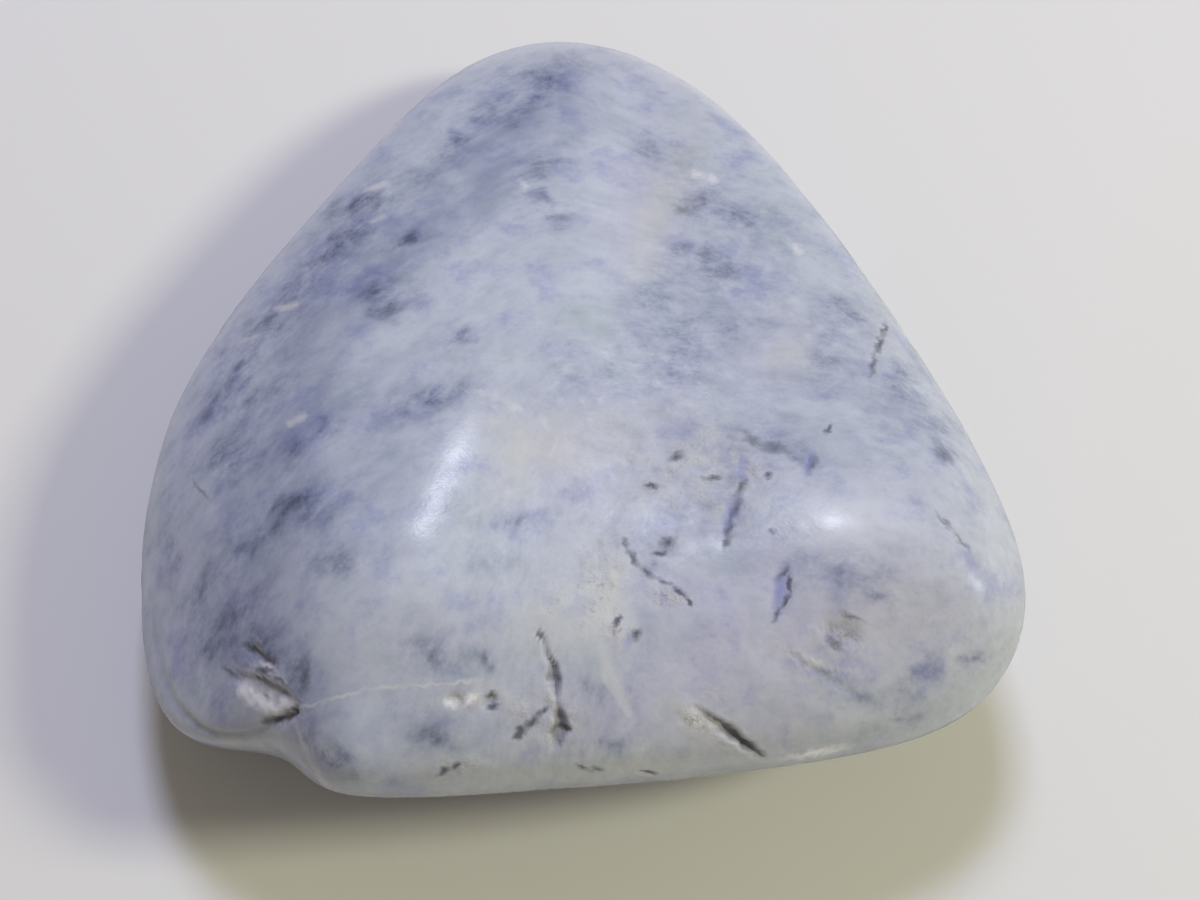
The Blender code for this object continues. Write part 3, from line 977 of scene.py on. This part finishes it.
THREADS = [
    (308, 706, 3.6, 0.4, 14, 0.7),
    (344, 695, 4.2, 0.35, 14, 0.8),
    (385, 688, 4.2, 0.35, 6, 0.6),
    (425, 685, 4.0, 0.35, 3, 0.6),
    (462, 682, 4.0, 0.35, 4, 0.7),
    (478, 392, 3.2, 0.6, -12, 0.35),
    (515, 407, 3.4, 0.7, -28, 0.45),
    (546, 424, 2.0, 0.7, -50, 0.45),
    (554, 448, 2.4, 0.5, 80, 0.4),
    (538, 476, 2.8, 0.5, 52, 0.35),
    (508, 494, 3.0, 0.5, 22, 0.3),
    (474, 511, 3.2, 0.6, 28, 0.3),
    (302, 740, 4.4, 0.5, -68, 0.7),
    (320, 776, 3.6, 0.5, -58, 0.7),
]
LAVENDER_HOLLOWS = [
    (780, 592, 4.6, 1.4, 82, 0.8),
    (730, 517, 4.4, 1.4, 74, 0.7),
    (809, 463, 2.2, 1.0, 65, 0.7),
    (742, 470, 2.4, 1.0, 80, 0.5),
    (628, 640, 1.8, 1.0, 70, 0.5),
    (840, 640, 2.6, 1.6, -20, 0.4),
]
CHIPS_AND_GLINTS = [
    # Painted highlight on the right hump.
    (846, 520, 9.0, 6.0, 8, 0.2),
    (699, 174, 1.5, 0.8, -10, 0.3),
    (524, 185, 1.2, 0.9, -50, 0.25),
    (713, 179, 1.4, 0.6, -28, 0.28),
    (797, 249, 1.4, 0.8, -20, 0.28),
    # Painted floor light on the lower right rim.
    (815, 753, 6.0, 0.7, 11, 0.55),
    # Fresh pale rock on the chip faces under the lip, with painted glints on them.
    (250, 692, 2.6, 1.9, -50, 1.0),
    (270, 703, 3.0, 2.0, -22, 1.0),
    (287, 704, 1.8, 1.2, -30, 0.8),
    (268, 664, 1.6, 0.9, -30, 0.5),
    (470, 700, 1.6, 0.9, 30, 0.6),
    (452, 703, 1.4, 1.0, 0, 0.5),
]

# Noise frays the marks' edges: its size in mm, and how far it moves them in thousands of sheet units.
FRAY_SIZE = 1.3
FRAY_WIDTH = 0.012
UNIT = UNITS_PER_MM * SHEET_SCALE
pattern = {"Vector": place, "Scale": MM_PER_METRE / FRAY_SIZE, "Detail": 2.0, "Roughness": 0.55}
fraying = add_node(tree, "TexNoise", pattern, "Color")
fraying = add_node(tree, "VectorMath", {0: fraying, 1: (0.5, 0.5, 0.5)}, operation="SUBTRACT")
drawn = add_node(tree, "Attribute", {}, "Vector", attribute_name="sheet")
inputs = {0: fraying, 1: (FRAY_WIDTH, FRAY_WIDTH, 0.0), 2: drawn}
drawn = add_node(tree, "VectorMath", inputs, operation="MULTIPLY_ADD")


def drawn_marks(marks, sharpness):
    """The strongest of the marks: strength * (1 - distance in half lengths and widths) * sharpness."""
    strongest = 0.0
    for across, down, half_length, half_width, turn, strength in marks:
        laid_out = {
            "Vector": drawn,
            "Location": (across * SHEET_SCALE, down * SHEET_SCALE, 0.0),
            "Rotation": (0.0, 0.0, -math.radians(turn)),
            "Scale": (half_length * UNIT, half_width * UNIT, 1.0),
        }
        mark = add_node(tree, "Mapping", laid_out, vector_type="TEXTURE")
        mark = add_node(tree, "TexGradient", {"Vector": mark}, "Fac", gradient_type="SPHERICAL")
        mark = add_node(tree, "Math", {0: mark, 1: sharpness * strength}, operation="MULTIPLY")
        strongest = add_node(tree, "Math", {0: strongest, 1: mark}, operation="MAXIMUM")
    shown = {0: strongest, 1: laid["displayed"]}
    return add_node(tree, "Math", shown, operation="MULTIPLY", use_clamp=True)


# Broken ground is chalky in crumbs and holds soot in specks; sizes in mm.
CRUMB_SIZE = 1.6
SPECK_SIZE = 0.8
pattern = {"Vector": place, "Scale": MM_PER_METRE / CRUMB_SIZE, "Detail": 4.0, "Roughness": 0.6}
crumbs = add_node(tree, "TexNoise", pattern)
chalk = add_node(
    tree,
    "MapRange",
    {"Value": crumbs, "From Min": 0.38, "From Max": 0.62, "To Min": 0.1, "To Max": 0.9},
    interpolation_type="SMOOTHSTEP",
)
chalk = add_node(tree, "Math", {0: chalk, 1: laid["rough"]}, operation="MULTIPLY")
pattern = {"Vector": place, "Scale": MM_PER_METRE / SPECK_SIZE, "Detail": 3.0, "Roughness": 0.6}
specks = add_node(tree, "TexNoise", pattern)
soot = add_node(
    tree,
    "MapRange",
    {"Value": specks, "From Min": 0.52, "From Max": 0.66, "To Min": 0.0, "To Max": 0.4},
    interpolation_type="SMOOTHSTEP",
)
soot = add_node(tree, "Math", {0: soot, 1: laid["rough"]}, operation="MULTIPLY")

# Over the tones lie stains with painted floor light, veins, chalky broken ground, bruised edges, drawn
# marks with painted shade, glints and highlights among them, and painted shade with grime, in this
# order. Each cover: where it lies, how far it hides what is under it, and its colour.
COVERS = [
    (laid["cream"], 0.6, "#C1C1B8"),
    (laid["green"], 0.45, "#94A5A3"),
    (laid["vein"], 0.7, "#D0CFCC"),
    (chalk, 1.0, "#C3C2C3"),
    (laid["edge"], 0.35, "#CBCAC9"),
    (soot, 1.0, "#6C6E7A"),
    (drawn_marks(THREADS, 1.5), 0.6, "#CFCECB"),
    # Fresh chips, with painted highlights, glints and floor light.
    (drawn_marks(CHIPS_AND_GLINTS, 2.0), 0.9, "#E2E2E6"),
    (drawn_marks(LAVENDER_HOLLOWS, 1.6), 0.7, "#8487BC"),
    # Painted shade in small dents and crevices, and under the chipped lip.
    (drawn_marks(DINT_SHADES, 1.7), 0.85, "#4C4E5C"),
    # Painted shade and grime in crack floors, pits, under the lip and in the hollows.
    (laid["grime"], 0.68, "#5A5756"),
]
for cover, share, cover_colour in COVERS:
    laid_on = add_node(tree, "Math", {0: cover, 1: share}, operation="MULTIPLY")
    inputs = {0: laid_on, 6: colour, 7: linear(cover_colour)}
    colour = add_node(tree, "Mix", inputs, 2, data_type="RGBA")

# The peel of the polish and the crumbled ground: height and size in mm.
PEEL = 0.02
PEEL_SIZE = 0.7
CRUMBLE = 0.3
CRUMBLE_SIZE = 0.8
pattern = {"Vector": place, "Scale": MM_PER_METRE / PEEL_SIZE, "Detail": 3.0, "Roughness": 0.6}
peel = add_node(tree, "TexNoise", pattern)
peel = add_node(tree, "Math", {0: peel, 1: PEEL}, operation="MULTIPLY")
pattern = {"Vector": place, "Scale": MM_PER_METRE / CRUMBLE_SIZE, "Detail": 5.0, "Roughness": 0.65}
crumble = add_node(tree, "TexNoise", pattern)
crumble = add_node(tree, "Math", {0: crumble, 1: laid["rough"]}, operation="MULTIPLY")
ground = add_node(tree, "Math", {0: crumble, 1: CRUMBLE, 2: peel}, operation="MULTIPLY_ADD")
relief = add_node(tree, "Bump", {"Height": ground, "Distance": MM, "Strength": 1.0})

# Wax gives a soft shine, a little duller over the mottle; broken ground and the hollows painted with
# shade and grime are dull.
WAXED = 0.19
MOTTLE_DULLS = 0.1
ROUGH_DULLS = 0.5
SHADE_AND_GRIME_DULL = 0.3
dull = add_node(tree, "Math", {0: mottle, 1: MOTTLE_DULLS, 2: WAXED}, operation="MULTIPLY_ADD")
dull = add_node(tree, "Math", {0: laid["rough"], 1: ROUGH_DULLS, 2: dull}, operation="MULTIPLY_ADD")
dull = add_node(tree, "Math", {0: laid["grime"], 1: SHADE_AND_GRIME_DULL, 2: dull}, operation="MULTIPLY_ADD")
shader = add_node(
    tree,
    "BsdfPrincipled",
    {"Base Color": colour, "Roughness": dull, "Normal": relief, "IOR": 1.5},
)
surface_end = tree.nodes.new("ShaderNodeOutputMaterial")
tree.links.new(shader, surface_end.inputs["Surface"])
stone_mesh.materials.append(jade)

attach(stone, "root")
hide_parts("stone")

# ---------------------------------------------------------------------------------------------
# The stage. A plain pale floor, a cool window light from behind, a warm lamp on the right, the gleams
# of both on the wax, and a faint warm fill from the room.
# ---------------------------------------------------------------------------------------------

FLOOR_SIZE = 3.0
floor_mesh = bpy.data.meshes.new("floor")
half = FLOOR_SIZE / 2
floor_corners = [(-half, -half, 0), (half, -half, 0), (half, half, 0), (-half, half, 0)]
floor_mesh.from_pydata(floor_corners, [], [(0, 1, 2, 3)])
floor = bpy.data.objects.new("floor", floor_mesh)
bpy.context.scene.collection.objects.link(floor)
paper = bpy.data.materials.new("matt_white_paper")
paper.use_nodes = True
paper_shader = paper.node_tree.nodes["Principled BSDF"]
paper_shader.inputs["Base Color"].default_value = linear("#D6D5D4")
paper_shader.inputs["Roughness"].default_value = 0.9
paper_shader.inputs["Specular IOR Level"].default_value = 0.2
floor_mesh.materials.append(paper)

# Lamps stand this far from the middle of the stone, in metres.
LAMP_DISTANCE = 1.1
STONE_MIDDLE = 0.02


def add_lamp(name, azimuth, elevation, size, power, colour, gleams):
    """A square light at these angles in degrees, turned to the middle of the stone.

    Its size is in metres and its power in watts. One that gleams shows only in reflections, and the
    others only in the light they cast."""
    lamp = bpy.data.lights.new(name, "AREA")
    lamp.size = size
    lamp.energy = power
    lamp.color = colour
    holder = bpy.data.objects.new(name, lamp)
    turn, lift = math.radians(azimuth), math.radians(elevation)
    holder.location = (
        LAMP_DISTANCE * math.cos(turn) * math.cos(lift),
        LAMP_DISTANCE * math.sin(turn) * math.cos(lift),
        LAMP_DISTANCE * math.sin(lift) + STONE_MIDDLE,
    )
    holder.rotation_euler = (math.pi / 2 - lift, 0, turn + math.pi / 2)
    holder.visible_diffuse = not gleams
    holder.visible_glossy = gleams
    bpy.context.scene.collection.objects.link(holder)


add_lamp("window", 90, 60, 0.27, 8.1, (0.686, 0.72, 1.0), False)
add_lamp("lamp", -10, 38, 0.2, 7.0, (1.0, 0.99, 0.72), False)
add_lamp("window_gleam", 90.5, 43, 0.08, 1.4, (0.82, 0.86, 1.0), True)
add_lamp("lamp_gleam", 4, 12, 0.13, 0.7, (0.95, 0.96, 1.0), True)

ROOM_FILL = (0.26, 0.235, 0.19, 1.0)
world = bpy.data.worlds.new("room")
world.use_nodes = True
world.node_tree.nodes["Background"].inputs["Color"].default_value = ROOM_FILL
world.node_tree.nodes["Background"].inputs["Strength"].default_value = 1.0
bpy.context.scene.world = world
bpy.context.scene.view_settings.view_transform = "Standard"

camera = bpy.data.cameras.new("camera")
camera.lens = 65.0
camera.sensor_width = 36.0
camera.clip_start = 0.01
eye = bpy.data.objects.new("camera", camera)
eye.location = tuple(VIEW_POINT * MM)
eye.rotation_euler = (math.pi / 2 - VIEW_ELEVATION, 0, 0)
bpy.context.scene.collection.objects.link(eye)
bpy.context.scene.camera = eye
